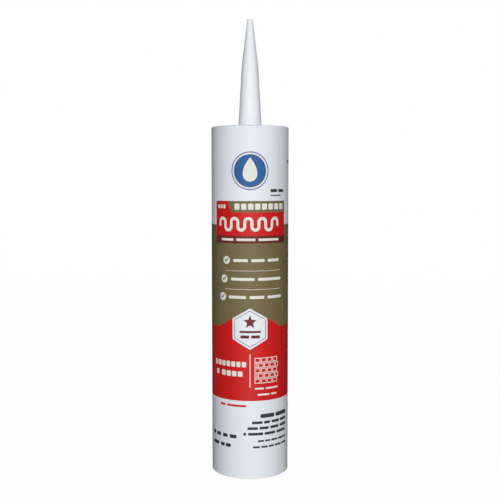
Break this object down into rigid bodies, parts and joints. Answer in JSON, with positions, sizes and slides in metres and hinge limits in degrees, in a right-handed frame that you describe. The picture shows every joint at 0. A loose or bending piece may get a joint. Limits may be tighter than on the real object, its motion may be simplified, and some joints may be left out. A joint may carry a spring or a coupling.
{
  "type": "caulk tube",
  "caption": "Upright sealant cartridge for a caulking gun: white plastic barrel with a moulded tapered nozzle and a piston that slides inside.",
  "frame": {"origin": "centre of the barrel's rear rim, on the surface that the tube stands on", "axes": "+Z along the tube's axis, towards the nozzle's tip; -Y is the printed front"},
  "size_m": [0.049, 0.049, 0.287],
  "materials": {
    "barrel_plastic": "satin",
    "nozzle_plastic": "satin",
    "seal_foil": "satin",
    "sealant_paste": "satin",
    "piston_plastic": "satin",
    "olive_ink": "satin",
    "red_ink": "satin",
    "maroon_ink": "satin",
    "blue_ink": "satin",
    "pale_ink": "satin",
    "dark_ink": "satin"
  },
  "bodies": {
    "tube": {"barrel": "barrel_plastic", "nozzle_head": "nozzle_plastic", "foil_seal": "seal_foil", "sealant": "sealant_paste", "print_olive": "olive_ink", "print_red": "red_ink", "print_maroon": "maroon_ink", "print_blue": "blue_ink"},
    "piston": {"piston": "piston_plastic"}
  },
  "joints": [
    {"name": "piston_slide", "type": "slide", "parent": "tube", "child": "piston", "axis": [0, 0, 1], "range_m": [0, 0.174], "deforming": ["sealant"]}
  ]
}
